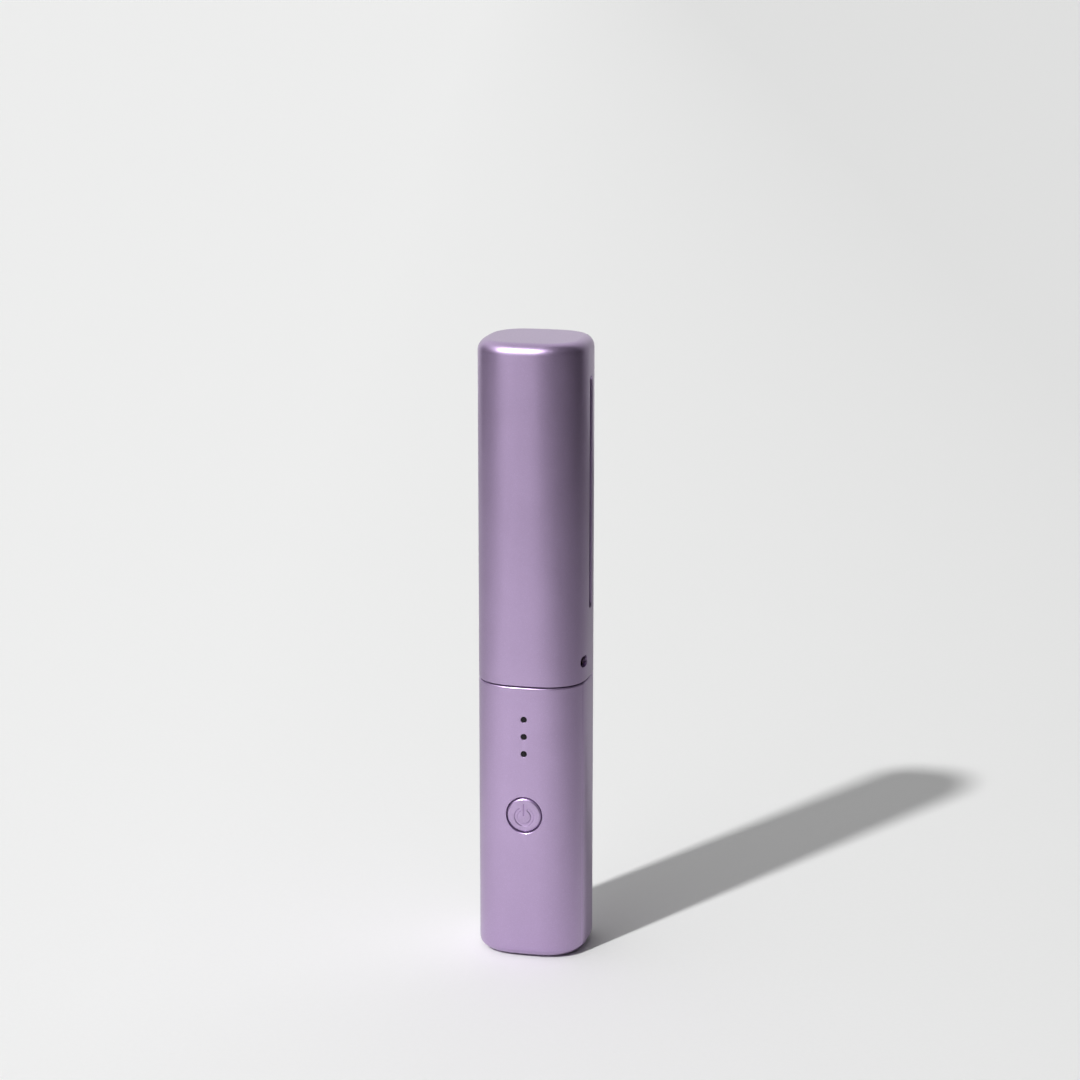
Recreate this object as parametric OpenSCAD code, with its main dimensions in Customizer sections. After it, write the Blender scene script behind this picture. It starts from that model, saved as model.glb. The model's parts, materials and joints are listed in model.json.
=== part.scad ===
// Handheld IPL hair remover: a slim handle with a power button, a flash head and a pull-off cap.
// Millimetres. Origin at the centre of the base, +Z up, the button side faces -Y, +X is its right side.

/* [Body] */
// Overall height with the cap on
total_h = 183.5; // [183:0.5:186]
// Width across the front
body_w = 32.4; // [31.8:0.1:34]
// Depth from front to back
body_d = 31.5; // [31:0.1:33]
// Radius of the four upright corners
corner_r = 12.4; // [12:0.1:13]
// Height of the seam between handle and cap
seam_z = 83; // [82:0.5:84]
// Gap at the seam
seam_gap = 0.4; // [0.3:0.05:0.6]
// Wall of the handle
handle_wall = 1.6; // [1.5:0.1:1.8]

/* [Cap] */
// Wall of the cap
cap_wall = 1.4; // [1.3:0.05:1.5]
// Rounding of the cap's top edge
cap_fillet = 3.4; // [3:0.1:4]
// Width of the vent slot in the cap's right side
slot_w = 3; // [2.6:0.1:3.4]
// Lowest point of the vent slot
slot_low = 104; // [102:0.5:106]
// Highest point of the vent slot
slot_high = 172.5; // [168:0.5:173]
// Height of the catch hole in the cap
catch_hole_h = 3.4; // [3.2:0.1:3.6]
// Width of the catch hole in the cap
catch_hole_w = 4.6; // [4.2:0.1:5]

/* [Controls] */
// Height of the power button's centre
button_z = 44.3; // [42:0.1:46]
// Diameter of the power button
button_d = 10.3; // [9.8:0.1:10.4]
// Diameter of an indicator dot
lens_d = 1.8; // [1.6:0.1:2]
// Height of the middle indicator
lens_z = 68.2; // [67.5:0.1:68.5]
// Distance between indicators
lens_pitch = 5.2; // [5:0.1:5.3]

/* [Power] */
// Diameter of the battery cell
cell_d = 18.3; // [17.8:0.1:18.4]
// Length of the battery cell
cell_len = 49.5; // [48:0.5:50]
// Diameter of the flash capacitor
capacitor_d = 16; // [15:0.5:16]

/* [Treatment window] */
// Length of the treatment window, along X
window_len = 21; // [20:0.5:21]
// Width of the treatment window, along Y
window_w = 11; // [10:0.5:11]

/* [Hidden] */
$fn = 64;
e = 0.01;

base_fillet = 3;
foot_h = 0.4;
corner_x = body_w / 2 - corner_r;
corner_y = body_d / 2 - corner_r;
front_y = -body_d / 2;
rear_y = body_d / 2;
inner_front_y = front_y + handle_wall;
part_y = -5;

floor_top = 2.4;
recess_top = 1.5;
base_boss_y = 9.6;
base_boss_d = 5;
base_boss_h = 7;
plate_gap = 0.2;
plate_w = 24.2;
plate_d = 23.2;
plate_r = 6.8;
plug_w = 19.6;
plug_d = 13.6;
plug_r = 3.8;
lens_fit = 0.02;
tongue_low = 14;
tongue_high = 70;

chassis_front = -8.6;
chassis_back = -7.2;
chassis_low = 7.6;
shelf_top = 9;
chassis_screw_x = 10.9;
chassis_screw_z = [20, 60];
head_foot_z = seam_z - 6;
bridge_low = head_foot_z - 4;

board_front = -11.2;
board_back = -10.2;
board_half = 9.5;
board_low = 34;
board_high = head_foot_z - 1;
chip_low = 52;
chip_half = 3.5;
pin_pitch = 1.05;

button_face_y = front_y + 0.12;
sign_depth = 0.25;
sign_r = 2.85;
sign_ring = 0.85;
sign_drop = 0.5;
sign_gap = 1.2;
bar_w = 0.45;
bar_low = -0.1;
bar_high = 3.3;
flange_front = inner_front_y + 0.3;
flange_back = flange_front + 0.7;
switch_front = board_front - 1.3;
plunger_end = switch_front + 0.5;

cell_y = 3.4;
cell_low = 15;
cell_high = cell_low + cell_len;
port_z = 11.6;
lead_r = 0.45;
red_lead = [[1.8, 10.6, 14.3], [5.6, 10.8, 13.9], [6.8, 10.2, 12.2], [7, 9.2, 10.5]];
black_lead = [
    [-1.8, 10.9, 65.2], [-4.8, 11.2, 65.1], [-6.7, 11, 62], [-7.4, 10.7, 40], [-7.1, 10.7, 16],
    [-7, 9.6, 10.5]
];

cap_low = seam_z + seam_gap;
cap_in_w = body_w - 2 * cap_wall;
cap_in_d = body_d - 2 * cap_wall;
cap_in_r = corner_r - cap_wall;
cap_ceiling = total_h - 2.4;
slide_gap = 0.3;
head_w = cap_in_w - 2 * slide_gap;
head_d = cap_in_d - 2 * slide_gap;
head_r = cap_in_r - slide_gap;
head_wall = 1.4;
head_in_w = head_w - 2 * head_wall;
head_in_d = head_d - 2 * head_wall;
head_in_r = head_r - head_wall;
head_floor_top = head_foot_z + 2;
bezel_top = total_h - 9.4;
bezel_seat = bezel_top - 6.6;
bezel_low = bezel_seat - 4;
frame_top = bezel_top + 1.4;
frame_low = frame_top - 5.8;
frame_well_low = frame_low - 1.2;
frame_wall = 1.8;
spring_seat = frame_well_low - 2;
switch_seat = frame_well_low - 1.6;
switch_x = window_len / 2 + 1.15;

catch_y = -6;
catch_z = seam_z + 6.4;
ball_r = 1.5;
ball_gap = 0.06;
catch_dy = abs(catch_y) - corner_y;
ball_x = corner_x + sqrt(pow(cap_in_r - ball_gap - ball_r, 2) - pow(catch_dy, 2));
sleeve_back = 6;
sleeve_lip_x = ball_x + 0.7;
catch_wire_d = 0.3;

flash_board_front = -9;
flash_board_back = -7.8;
flash_board_high = 128;
transformer_x = -3.5;
transformer_low = 116;
transistor_x = 6;
transistor_low = 117;
transistor_high = 126;
capacitor_y = 3.8;
capacitor_low = 80.5;
capacitor_high = 114;
fan_low = 129.5;
fan_high = 136;
fan_half = 10;
fan_bore_r = 9.3;
fan_shaft_r = 0.75;
fan_bearing_r = 1.25;
fan_floor = 0.8;
blade_r = 8.9;
hub_r = 3.8;
blades = 7;
blade_pitch = 42;
sink_base = bezel_low - 12;
sink_low = sink_base - 8;
sink_top = sink_base + 5.2;
trough_r = 6.2;
trough_wall = 0.6;
trough_z = bezel_low - 2.5;
lamp_z = trough_z - 3.7;
lamp_r = 2;
lamp_half = 10.5;
holder_in = 10.6;
holder_out = 12.3;
glass_low = bezel_low + 1;
glass_h = 1.5;

lilac = [0.70, 0.62, 0.80];
plum = [0.30, 0.22, 0.34];
board_green = [0.10, 0.35, 0.22];
steel = [0.72, 0.72, 0.74];
black = [0.08, 0.08, 0.09];
white = [0.92, 0.92, 0.90];
copper = [0.80, 0.45, 0.25];
clear = [0.80, 0.90, 0.95, 0.6];

// ---------- Shared shapes ----------

// Rounded rectangle with true arcs
module round_rect(w, d, r) {
    square([w - 2 * r, d], center = true);
    square([w, d - 2 * r], center = true);
    for (sx = [-1, 1], sy = [-1, 1])
        translate([sx * (w / 2 - r), sy * (d / 2 - r)]) circle(r);
}

// Upright prism of a rounded rectangle between two heights
module round_prism(w, d, r, low, high) {
    translate([0, 0, low]) linear_extrude(high - low) round_rect(w, d, r);
}

// Right half of an upright section whose lower and upper edges are rounded
module half_profile(half, low, high, round_low, round_high) {
    translate([0, low + round_low]) square([half, high - low - round_low - round_high]);
    translate([0, low]) square([half - round_low, high - low - round_high]);
    translate([0, low + round_low]) square([half - round_high, high - low - round_low]);
    if (round_low > 0) translate([half - round_low, low + round_low]) circle(round_low);
    if (round_high > 0) translate([half - round_high, high - round_high]) circle(round_high);
}

module full_profile(half, low, high, round_low, round_high) {
    half_profile(half, low, high, round_low, round_high);
    mirror([1, 0]) half_profile(half, low, high, round_low, round_high);
}

// Rounded-rectangle block with rounded lower and upper edges
module round_block(w, d, r, low, high, round_low, round_high) {
    for (sx = [-1, 1], sy = [-1, 1])
        translate([sx * (w / 2 - r), sy * (d / 2 - r), 0])
            rotate_extrude() half_profile(r, low, high, round_low, round_high);
    rotate([90, 0, 90]) linear_extrude(w - 2 * r, center = true)
        full_profile(d / 2, low, high, round_low, round_high);
    rotate([90, 0, 0]) linear_extrude(d - 2 * r, center = true)
        full_profile(w / 2, low, high, round_low, round_high);
}

// Cylinder along X between two places
module rod_x(r, from, to) {
    translate([from, 0, 0]) rotate([0, 90, 0]) cylinder(r = r, h = to - from);
}

// Cylinder along Y between two places
module rod_y(r, from, to) {
    translate([0, from, 0]) rotate([-90, 0, 0]) cylinder(r = r, h = to - from);
}

// Slot outline with round ends, upright, from low to high
module slot_outline(w, low, high) {
    translate([0, low + w / 2]) circle(w / 2);
    translate([0, high - w / 2]) circle(w / 2);
    translate([-w / 2, low + w / 2]) square([w, high - low - w]);
}

// Block between two opposite corners
module block(a, b) {
    translate(a) cube(b - a);
}

function unit(v) = v / norm(v);

// Closed skin over equal rings of points, given one after another
module swept_skin(points, sides) {
    rings = len(points) / sides;
    walls = [
        for (i = [0:rings - 2], k = [0:sides - 1])
            let (next = (k + 1) % sides)
            [i * sides + k, i * sides + next, (i + 1) * sides + next, (i + 1) * sides + k]
    ];
    ends = [
        [for (k = [sides - 1:-1:0]) k],
        [for (k = [0:sides - 1]) (rings - 1) * sides + k]
    ];
    polyhedron(points = points, faces = concat(walls, ends));
}

// Round wire through a list of points
module wire(points, r) {
    sides = 10;
    last = len(points) - 1;
    rings = [
        for (i = [0:last], k = [0:sides - 1])
            let (along = unit(points[min(i + 1, last)] - points[max(i - 1, 0)]))
            let (across = unit(cross(along, [0, 1, 0.1])), up = cross(across, along))
            let (side = 360 * k / sides)
            points[i] + r * cos(side) * across + r * sin(side) * up
    ];
    swept_skin(rings, sides);
}

// Round pan head and shank of a small screw, along +Z from the underside of its head
module screw(pan_r, pan_h, shank_r, shank_len) {
    difference() {
        translate([0, 0, -pan_h]) cylinder(r = pan_r, h = pan_h);
        translate([0, 0, -pan_h - e]) cylinder(r = pan_r / 2, h = pan_h / 2, $fn = 6);
    }
    cylinder(r = shank_r, h = shank_len);
}

// Coil spring along +Z: wire swept round a helix
module coil_spring(coil_r, wire_r, turns, height) {
    sides = 6;
    per_turn = 14;
    rings = turns * per_turn;
    rise = height - 2 * wire_r;
    points = [
        for (i = [0:rings], k = [0:sides - 1])
            let (turn = 360 * i / per_turn, side = 360 * k / sides)
            let (reach = coil_r + wire_r * cos(side))
            [reach * cos(turn), reach * sin(turn), wire_r + rise * i / rings + wire_r * sin(side)]
    ];
    swept_skin(points, sides);
}

// ---------- Handle shells ----------

module handle_skin() {
    difference() {
        round_block(body_w, body_d, corner_r, foot_h, seam_z, base_fillet, 0.4);
        round_block(body_w - 2 * handle_wall, body_d - 2 * handle_wall, corner_r - handle_wall,
            floor_top, seam_z + 5, 1.4, 0);
        round_prism(plate_w + 2 * plate_gap, plate_d + 2 * plate_gap, plate_r + plate_gap, -1, recess_top);
        round_prism(plug_w + 2 * plate_gap, plug_d + 2 * plate_gap, plug_r + plate_gap, -1, floor_top + 1);
    }
}

module base_boss(side) {
    translate([0, side * base_boss_y, 0]) cylinder(d = base_boss_d, h = base_boss_h);
}

module base_boss_hole(side) {
    translate([0, side * base_boss_y, -e]) cylinder(d = 1.7, h = 6.5);
}

// Front half of the handle, with the button and indicator holes
module front_shell() {
    color(lilac) difference() {
        union() {
            intersection() {
                handle_skin();
                block([-30, -30, -1], [30, part_y, seam_z + 1]);
            }
            intersection() {
                base_boss(-1);
                block([-5, -13, recess_top], [5, part_y, 8]);
            }
            // Tongues that locate the rear shell
            for (side = [-1, 1]) {
                inner_x = body_w / 2 - handle_wall;
                translate([side * (inner_x - 0.3), part_y, 0])
                    block([-0.6, -3, tongue_low], [0.6, 0, tongue_high]);
                translate([side * (inner_x - 0.6), part_y, 0])
                    block([-0.35, -1, tongue_low], [0.35, 1.8, tongue_high]);
            }
        }
        base_boss_hole(-1);
        translate([0, 0, button_z]) rod_y(button_d / 2 + 0.3, front_y - 1, inner_front_y + 1);
        for (i = [-1:1])
            translate([0, 0, lens_z + i * lens_pitch])
                rod_y(lens_d / 2 + lens_fit, front_y - 1, inner_front_y + 1);
    }
}

// Rear half of the handle, with the charging inlet's opening
module rear_shell() {
    color(lilac) difference() {
        union() {
            intersection() {
                handle_skin();
                block([-30, part_y, -1], [30, 30, seam_z + 1]);
            }
            intersection() {
                base_boss(1);
                block([-5, part_y, recess_top], [5, 13, 8]);
            }
            // Bosses for the chassis screws
            for (side = [-1, 1], z = chassis_screw_z)
                translate([side * chassis_screw_x, 0, z]) rod_y(1.6, chassis_back, 11.8);
        }
        base_boss_hole(1);
        for (side = [-1, 1], z = chassis_screw_z)
            translate([side * chassis_screw_x, 0, z]) rod_y(0.7, chassis_back - 1, 0);
        translate([0, 20, port_z]) rotate([90, 0, 0]) linear_extrude(8)
            rotate(90) slot_outline(3.8, -5, 5);
    }
}

// Plate let into the underside, with countersunk screw holes
module base_plate() {
    color(plum) difference() {
        union() {
            round_prism(plate_w, plate_d, plate_r, foot_h, recess_top - 0.02);
            round_prism(plug_w, plug_d, plug_r, foot_h, floor_top);
        }
        for (side = [-1, 1]) translate([0, side * base_boss_y, 0]) {
            cylinder(r = 1.15, h = 5);
            translate([0, 0, foot_h - e]) cylinder(r1 = 2, r2 = 1.15, h = 0.85);
        }
    }
}

// Rubber pad that the object stands on
module foot_pad() {
    color(black) round_prism(21.5, 20.5, 4.6, 0, foot_h);
}

module base_screws() {
    color(steel) for (side = [-1, 1]) translate([0, side * base_boss_y, foot_h]) {
        difference() {
            cylinder(r1 = 1.9, r2 = 0.85, h = 0.95);
            translate([0, 0, -e]) cylinder(r = 0.7, h = 0.5, $fn = 6);
        }
        cylinder(r = 0.85, h = 5.6);
    }
}

// ---------- Inside the handle ----------

// Inner frame: a back plate with a shelf, two cell saddles and a bridge under the head
module chassis() {
    color(white) difference() {
        union() {
            block([-12, chassis_front, chassis_low], [12, chassis_back, head_foot_z]);
            block([-10.5, chassis_back - e, chassis_low], [10.5, 6, shelf_top]);
            block([-11.5, chassis_back - e, bridge_low], [11.5, 8, head_foot_z]);
            for (z = [24, 54]) block([-9, chassis_back - e, z], [9, 1, z + 2]);
        }
        translate([0, cell_y, 0]) cylinder(d = cell_d + 0.1, h = cell_high + 1);
        for (side = [-1, 1]) {
            for (z = chassis_screw_z)
                translate([side * chassis_screw_x, 0, z]) rod_y(0.85, chassis_front - 1, chassis_back + 1);
            translate([side * 7, 2, chassis_low - 1]) cylinder(d = 1.4, h = 3);
            translate([side * 9, 3, bridge_low - 1]) cylinder(d = 1.6, h = 6);
        }
        block([-4, chassis_front - 1, bridge_low - 6], [4, chassis_back + 1, bridge_low - 2]);
        block([-3.5, -1, bridge_low - 1], [3.5, 9, head_foot_z + 1]);
    }
    // Spacers that carry the control board
    color(white) for (side = [-1, 1], z = [board_low + 3, board_high - 6])
        translate([side * 7, 0, z]) rod_y(1.5, board_back, chassis_front);
}

module chassis_screws() {
    color(steel) for (side = [-1, 1], z = chassis_screw_z)
        translate([side * chassis_screw_x, chassis_front, z])
            rotate([-90, 0, 0]) screw(1.3, 0.9, 0.7, 6);
}

module control_board() {
    color(board_green) difference() {
        block([-board_half, board_front, board_low], [board_half, board_back, board_high]);
        for (side = [-1, 1])
            translate([side * 4, 0, button_z]) rod_y(0.5, board_front - 1, board_back + 1);
    }
}

module controller_chip() {
    pin_x = chip_half + 0.4;
    color(black) union() {
        block([-chip_half, board_front - 0.9, chip_low], [chip_half, board_front, chip_low + 2 * chip_half]);
        for (i = [0:5], side = [-1, 1])
            translate([side * pin_x, 0, chip_low + 0.6 + i * pin_pitch])
                block([-0.5, board_front - 0.2, 0], [0.5, board_front, 0.4]);
    }
}

module status_leds() {
    color(white) for (i = [-1:1])
        translate([0, 0, lens_z + i * lens_pitch])
            block([-0.8, board_front - 0.5, -0.5], [0.8, board_front, 0.5]);
}

// Clear strip behind the indicators, with a post for each one
module light_guide() {
    color(clear) union() {
        block([-1.7, inner_front_y, lens_z - lens_pitch - 1.8],
            [1.7, inner_front_y + 0.9, lens_z + lens_pitch + 1.8]);
        for (i = [-1:1]) translate([0, 0, lens_z + i * lens_pitch]) {
            rod_y(lens_d / 2 - 0.05, front_y + 0.8, inner_front_y + 0.5);
            rod_y(1, inner_front_y + 0.5, board_front - 0.7);
        }
    }
}

// Smoked lens in each indicator hole
module indicator_lenses() {
    color(black) for (i = [-1:1])
        translate([0, 0, lens_z + i * lens_pitch]) rod_y(lens_d / 2, front_y + 0.05, front_y + 0.8);
}

module switch_body() {
    color(steel) difference() {
        block([-3, switch_front, button_z - 3], [3, board_front, button_z + 3]);
        translate([0, 0, button_z]) rod_y(1.3, switch_front - 1, board_front - 0.2);
    }
}

// Round button with an engraved power sign and a flange that keeps it in its hole
module power_button() {
    sign_y = button_face_y + sign_depth;
    color(lilac) translate([0, 0, button_z]) difference() {
        union() {
            rod_y(button_d / 2, button_face_y, flange_back - e);
            rod_y(button_d / 2 + 0.6, flange_front, flange_back);
        }
        translate([0, 0, -sign_drop]) difference() {
            rod_y(sign_r, button_face_y - 1, sign_y);
            rod_y(sign_r - sign_ring, button_face_y - 2, sign_y + 1);
            block([-sign_gap, button_face_y - 2, 0], [sign_gap, 0, 2 * sign_r]);
        }
        block([-bar_w / 2, button_face_y - 1, bar_low], [bar_w / 2, sign_y, bar_high]);
    }
}

module switch_plunger() {
    color(black) translate([0, 0, button_z]) rod_y(1.2, flange_back, plunger_end);
}

module battery_cell() {
    color([0.25, 0.45, 0.65]) translate([0, cell_y, cell_low]) union() {
        cylinder(d = cell_d - 0.3, h = cell_len - 0.8);
        translate([0, 0, 0.8]) cylinder(d = cell_d, h = cell_len - 2.4);
        cylinder(d = 6, h = cell_len);
    }
}

// Nickel strips welded to the cell's ends
module battery_tabs() {
    color(steel) for (z = [cell_low - 0.2, cell_high])
        block([-2.5, cell_y - 3, z], [2.5, cell_y + 8, z + 0.2]);
}

// Leads from the tabs to the charge board and past the cell to the bridge
module battery_leads() {
    color([0.7, 0.1, 0.1]) wire(red_lead, lead_r);
    color(black) wire(black_lead, lead_r);
}

module charge_board() {
    color(board_green) difference() {
        block([-9, -6, shelf_top], [9, 12.4, shelf_top + 1]);
        for (side = [-1, 1]) translate([side * 7, 2, shelf_top - 1]) cylinder(d = 1.7, h = 3);
    }
}

// Metal charging socket with its tongue
module charge_port() {
    port_half = 4.4;
    port_h = 3.2;
    port_wall = 0.3;
    color(steel) translate([0, 15.2, port_z]) rotate([90, 0, 0]) difference() {
        linear_extrude(7.4) rotate(90) slot_outline(port_h, -port_half, port_half);
        translate([0, 0, -e]) linear_extrude(6.4)
            rotate(90) slot_outline(port_h - 2 * port_wall, -port_half + port_wall, port_half - port_wall);
    }
    color(black) block([-3.3, 8.4, port_z - 0.35], [3.3, 14.2, port_z + 0.35]);
}

module charge_screws() {
    color(steel) for (side = [-1, 1])
        translate([side * 7, 2, shelf_top + 1]) mirror([0, 0, 1]) screw(1.4, 0.9, 0.7, 3.2);
}

module neck_screws() {
    color(steel) for (side = [-1, 1])
        translate([side * 9, 3, head_floor_top]) mirror([0, 0, 1]) screw(1.5, 1, 0.8, 5.6);
}

// ---------- Flash head ----------

// Tube of the head: a floor, a seal groove, board rails, air slots and a seat for the catch
module head_housing() {
    color(plum) difference() {
        union() {
            difference() {
                round_prism(head_w, head_d, head_r, head_foot_z, bezel_seat);
                round_prism(head_in_w, head_in_d, head_in_r, head_floor_top, bezel_seat + 1);
            }
            intersection() {
                round_prism(head_w - 1, head_d - 1, head_r - 0.5, head_foot_z, bezel_seat);
                union() {
                    // Rails behind the flash board and ledges under the heat sink
                    for (side = [-1, 1]) {
                        block([side * 11.2 - 2, flash_board_back, head_foot_z + 1],
                            [side * 11.2 + 2, flash_board_back + 1.2, flash_board_high]);
                        block([side * 12 - 1.8, -2.5, sink_base - 5], [side * 12 + 1.8, 2.5, sink_base]);
                    }
                    // Boss around the catch sleeve
                    block([9.8, flash_board_back + 0.1, catch_z - 3.4], [20, catch_y + 3.4, catch_z + 3.4]);
                }
            }
        }
        difference() {
            round_prism(head_w + 2, head_d + 2, head_r + 1, seam_z + 0.6, seam_z + 1.8);
            round_prism(head_w - 1, head_d - 1, head_r - 0.5, seam_z, seam_z + 3);
        }
        block([-4, -11.9, head_foot_z - 1], [4, flash_board_back - 0.4, head_floor_top + 1]);
        for (side = [-1, 1]) translate([side * 9, 3, head_foot_z - 1]) cylinder(d = 1.8, h = 4);
        translate([0, catch_y, catch_z]) rod_x(2.02, 0, 20);
        for (i = [-3:3]) {
            translate([i * 2.4, 20, 0]) rotate([90, 0, 0]) linear_extrude(9)
                slot_outline(1.2, 116, 127);
            translate([i * 2.4, -11, 0]) rotate([90, 0, 0]) linear_extrude(9)
                slot_outline(1.2, sink_low - 0.5, sink_base - 1);
        }
    }
}

module seal_ring() {
    color(black) difference() {
        round_prism(head_w + 0.3, head_d + 0.3, head_r + 0.15, seam_z + 0.65, seam_z + 1.75);
        round_prism(head_w - 1 + 0.04, head_d - 1 + 0.04, head_r - 0.48, seam_z, seam_z + 3);
    }
}

// Bored sleeve that holds the ball and its spring, with a lip at the mouth
module catch_sleeve() {
    color([0.8, 0.65, 0.35]) difference() {
        intersection() {
            translate([0, catch_y, catch_z]) rod_x(2, sleeve_back, 20);
            round_prism(head_w, head_d, head_r, head_foot_z, bezel_seat);
        }
        translate([0, catch_y, catch_z]) {
            rod_x(ball_r + 0.05, sleeve_back + 1, sleeve_lip_x);
            rod_x(ball_r - 0.15, sleeve_back + 1, 20);
        }
    }
}

module catch_spring() {
    low = sleeve_back + 1.02;
    color(steel) translate([low, catch_y, catch_z]) rotate([0, 90, 0])
        coil_spring(1.15, catch_wire_d / 2, 6, ball_x - 1.12 - low);
}

module catch_ball() {
    color(steel) translate([ball_x, catch_y, catch_z]) sphere(r = ball_r);
}

module flash_capacitor() {
    color(black) translate([0, capacitor_y, 0]) difference() {
        union() {
            translate([0, 0, capacitor_low]) cylinder(d = capacitor_d, h = capacitor_high - capacitor_low);
            for (side = [-1, 1])
                translate([side * 3, 0, head_floor_top + 0.2]) cylinder(d = 0.9, h = 2);
        }
        translate([0, 0, capacitor_low + 2.5]) difference() {
            cylinder(d = capacitor_d + 1, h = 1);
            translate([0, 0, -1]) cylinder(d = capacitor_d - 0.8, h = 3);
        }
    }
}

module capacitor_clamp() {
    color(white) difference() {
        union() {
            translate([0, capacitor_y, 96]) cylinder(d = capacitor_d + 1.6, h = 5);
            block([-4, flash_board_back, 96], [4, capacitor_y - 7, 101]);
        }
        translate([0, capacitor_y, 90]) cylinder(d = capacitor_d + 0.04, h = 20);
    }
}

module flash_board() {
    color(board_green) difference() {
        block([-9.6, flash_board_front, head_floor_top], [9.6, flash_board_back, flash_board_high]);
        translate([0, catch_y, catch_z]) rod_x(2.2, sleeve_back - 1, 20);
    }
}

// Ferrite frame with its wound bobbin
module charger_transformer() {
    core_half = 5.5;
    core_h = 10;
    core_deep = 9;
    core_bar = 2;
    color([0.2, 0.2, 0.22]) translate([transformer_x, flash_board_back, transformer_low]) difference() {
        block([-core_half, 0, 0], [core_half, core_deep, core_h]);
        block([core_bar - core_half, -1, core_bar],
            [core_half - core_bar, core_deep + 1, core_h - core_bar]);
    }
    color(copper) translate([transformer_x, flash_board_back, transformer_low + core_h / 2])
        rod_y(2.9, 0.4, core_deep - 0.4);
}

module trigger_coil() {
    color(copper) translate([-7, flash_board_back + 2.4, 84]) union() {
        cylinder(r = 2, h = 10);
        for (z = [0, 9.2]) translate([0, 0, z]) cylinder(r = 2.4, h = 0.8);
    }
}

module power_transistor() {
    color(black) translate([transistor_x, flash_board_back, 0])
        block([-3, 0, transistor_low], [3, 3, transistor_high]);
    color(steel) for (i = [-1:1])
        translate([transistor_x + i * 1.9, flash_board_back, 0])
            block([-0.3, 0, transistor_low - 3.5], [0.3, 0.5, transistor_low]);
}

// Flat ribbon between the two boards
module head_harness() {
    color(white) translate([-3, 0, 0]) rotate([90, 0, 90]) linear_extrude(6)
        polygon([[board_back, 68], [board_back + 0.35, 68], [board_back + 0.35, 74], [flash_board_front, 81],
            [flash_board_front, 84], [flash_board_front - 0.35, 84], [flash_board_front - 0.35, 81.2],
            [board_back, 74.2]]);
}

module fan_frame() {
    color(black) difference() {
        union() {
            difference() {
                block([-fan_half, -fan_half, fan_low], [fan_half, fan_half, fan_high]);
                translate([0, 0, fan_low - 1]) cylinder(r = fan_bore_r, h = fan_high - fan_low + 2);
            }
            translate([0, 0, fan_low]) cylinder(r = 3.6, h = fan_floor);
            for (a = [90:120:330])
                rotate(a) block([3, -0.6, fan_low], [fan_bore_r + 0.2, 0.6, fan_low + fan_floor]);
        }
        for (sx = [-1, 1], sy = [-1, 1])
            translate([sx * 8.4, sy * 8.4, fan_low - 1]) cylinder(r = 0.8, h = fan_high - fan_low + 2);
    }
}

module fan_bearing() {
    color([0.8, 0.65, 0.35]) difference() {
        translate([0, 0, fan_low + fan_floor]) cylinder(r = fan_bearing_r, h = 3);
        translate([0, 0, fan_low]) cylinder(r = fan_shaft_r + 0.05, h = 5);
    }
}

module fan_stator() {
    color(copper) difference() {
        union() {
            translate([0, 0, fan_low + fan_floor]) cylinder(r = 2.7, h = 0.5);
            for (a = [0:90:270])
                rotate(a) block([1, -0.7, fan_low + fan_floor], [2.7, 0.7, fan_low + 3.4]);
            translate([0, 0, fan_low + fan_floor]) cylinder(r = 1.7, h = 2.6);
        }
        cylinder(r = fan_bearing_r, h = total_h);
    }
}

// Hub cup with pitched blades
module fan_rotor() {
    hub_low = fan_low + 1.2;
    hub_high = fan_low + 5.8;
    color([0.16, 0.16, 0.18]) difference() {
        union() {
            translate([0, 0, hub_low]) cylinder(r = hub_r, h = hub_high - hub_low);
            intersection() {
                for (i = [0:blades - 1])
                    rotate(i * 360 / blades) translate([hub_r - 0.6, 0, (hub_low + hub_high) / 2])
                        rotate([blade_pitch, 0, 0]) block([0, -2.9, -0.35], [7, 2.9, 0.35]);
                translate([0, 0, hub_low]) cylinder(r = blade_r, h = hub_high - hub_low);
            }
        }
        translate([0, 0, hub_low - 1]) cylinder(r = 3, h = 4);
        cylinder(r = fan_shaft_r, h = total_h);
    }
}

module fan_shaft() {
    color(steel) translate([0, 0, fan_low + 0.9]) cylinder(r = fan_shaft_r, h = 4.8);
}

// Finned block with a saddle for the reflector
module heat_sink() {
    color(steel) difference() {
        union() {
            block([-9.9, -6.9, sink_base], [9.9, 6.9, sink_top]);
            block([-12.5, -3, sink_base], [12.5, 3, sink_base + 1.6]);
            for (i = [-3:3]) block([i * 3.1 - 0.5, -6.9, sink_low], [i * 3.1 + 0.5, 6.9, sink_base + e]);
        }
        translate([0, 0, trough_z]) rod_x(trough_r + trough_wall, -20, 20);
    }
}

// Polished trough around the lamp
module reflector() {
    outer_r = trough_r + trough_wall;
    color([0.9, 0.9, 0.92]) difference() {
        union() {
            translate([0, 0, trough_z]) rod_x(outer_r, -10, 10);
            block([-10, -outer_r, trough_z], [10, outer_r, glass_low]);
        }
        translate([0, 0, trough_z]) rod_x(trough_r, -9.4, 9.4);
        block([-9.4, -trough_r, trough_z], [9.4, trough_r, glass_low + 1]);
        block([-20, -20, glass_low], [20, 20, total_h]);
        translate([0, 0, lamp_z]) rod_x(lamp_r + 0.25, -20, 20);
    }
}

module lamp_holders() {
    color(white) for (side = [-1, 1]) difference() {
        block([side * (holder_in + holder_out) / 2 - (holder_out - holder_in) / 2, -4, lamp_z - 4],
            [side * (holder_in + holder_out) / 2 + (holder_out - holder_in) / 2, 4, lamp_z + 4]);
        translate([0, 0, lamp_z]) rod_x(1.52, -20, 20);
    }
}

module flash_lamp() {
    color(clear) translate([0, 0, lamp_z]) rod_x(lamp_r, -lamp_half, lamp_half);
}

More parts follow.
